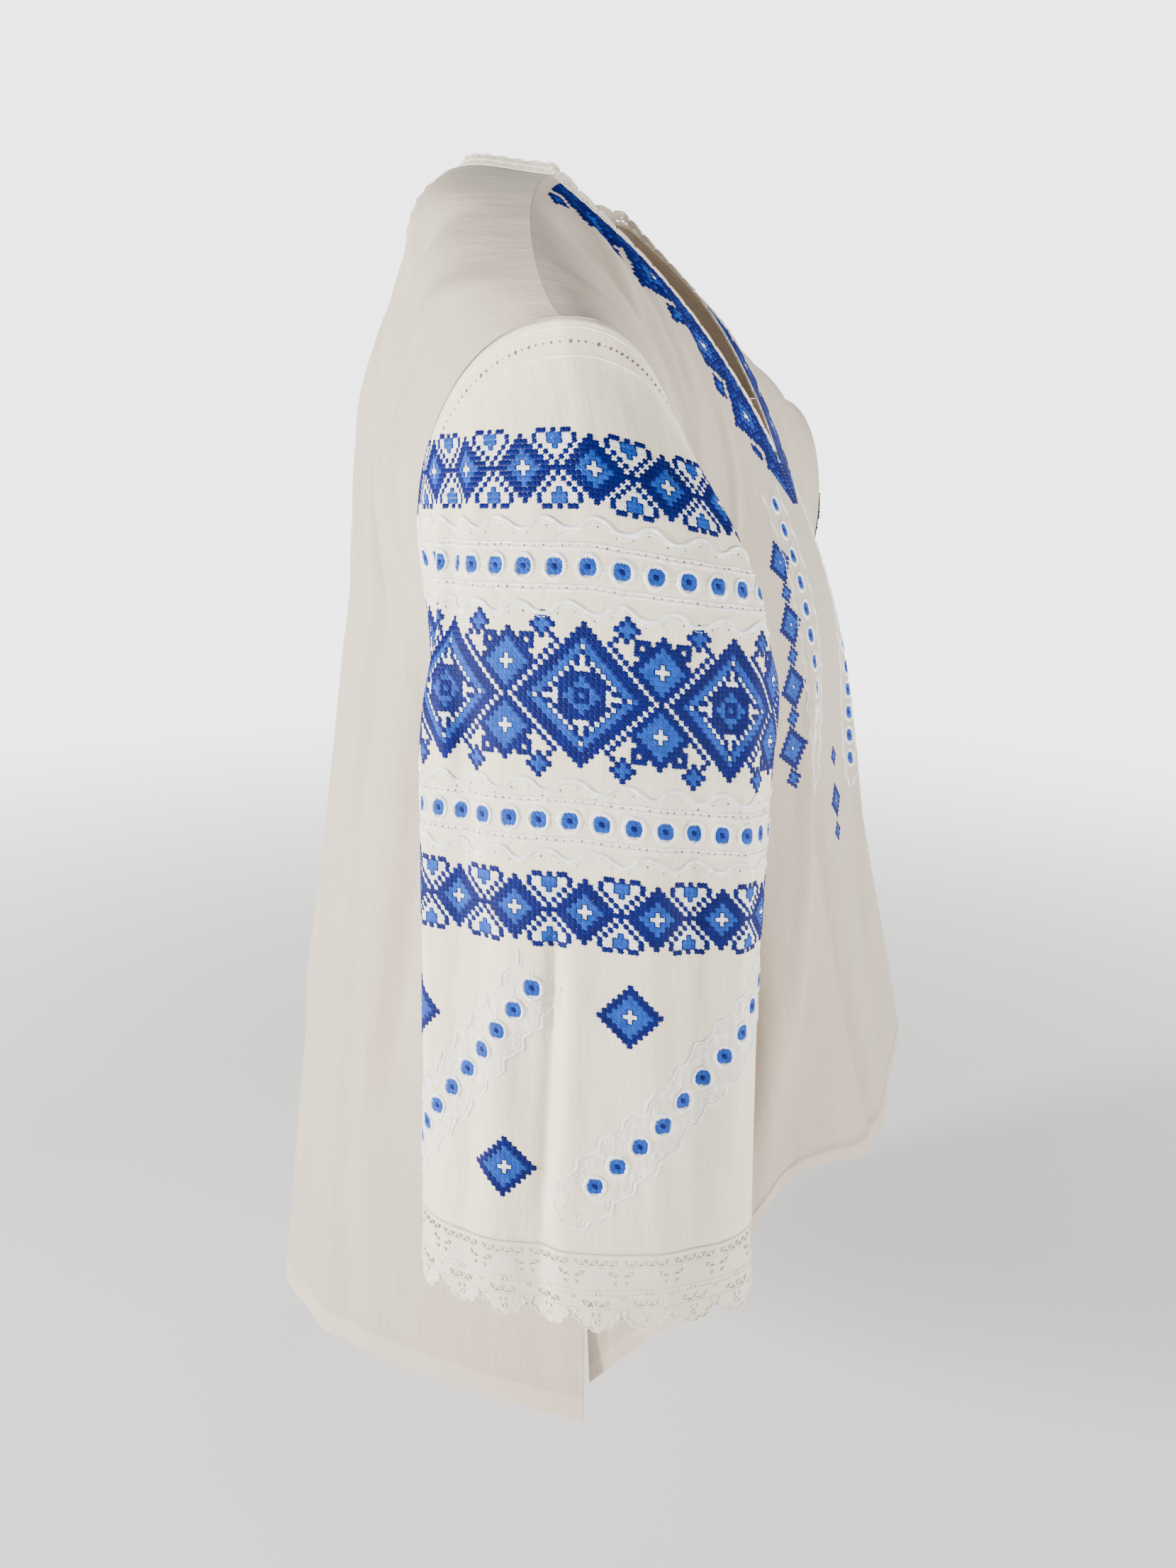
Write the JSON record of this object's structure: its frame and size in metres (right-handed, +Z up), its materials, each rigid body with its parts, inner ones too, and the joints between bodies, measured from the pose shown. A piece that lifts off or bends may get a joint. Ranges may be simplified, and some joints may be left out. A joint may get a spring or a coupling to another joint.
{
  "type": "folk blouse, filled out as worn",
  "caption": "Loose cotton voile folk blouse with a V neck, long embroidered sleeves, lace cuffs and a hem lower at the back, filled out as worn.",
  "frame": {"origin": "midway between the two side neck points, where the wearer's shoulders carry the blouse", "axes": "+Z up, the front towards -Y, +X towards the wearer's left"},
  "size_m": [0.5448, 0.4307, 0.7454],
  "materials": {
    "body_voile": "matt, thin",
    "sleeve_voile": "matt, thin",
    "lace_thread": "matt",
    "blue_thread": "satin",
    "light_blue_thread": "satin",
    "white_thread": "satin"
  },
  "bodies": {
    "root": {"front_panel": "body_voile", "back_panel": "body_voile", "sleeve_right": "sleeve_voile", "sleeve_left": "sleeve_voile", "cuff_lace_inner_right": "lace_thread", "cuff_lace_outer_right": "lace_thread", "cuff_lace_inner_left": "lace_thread", "cuff_lace_outer_left": "lace_thread", "neck_lace": "lace_thread"}
  },
  "joints": []
}
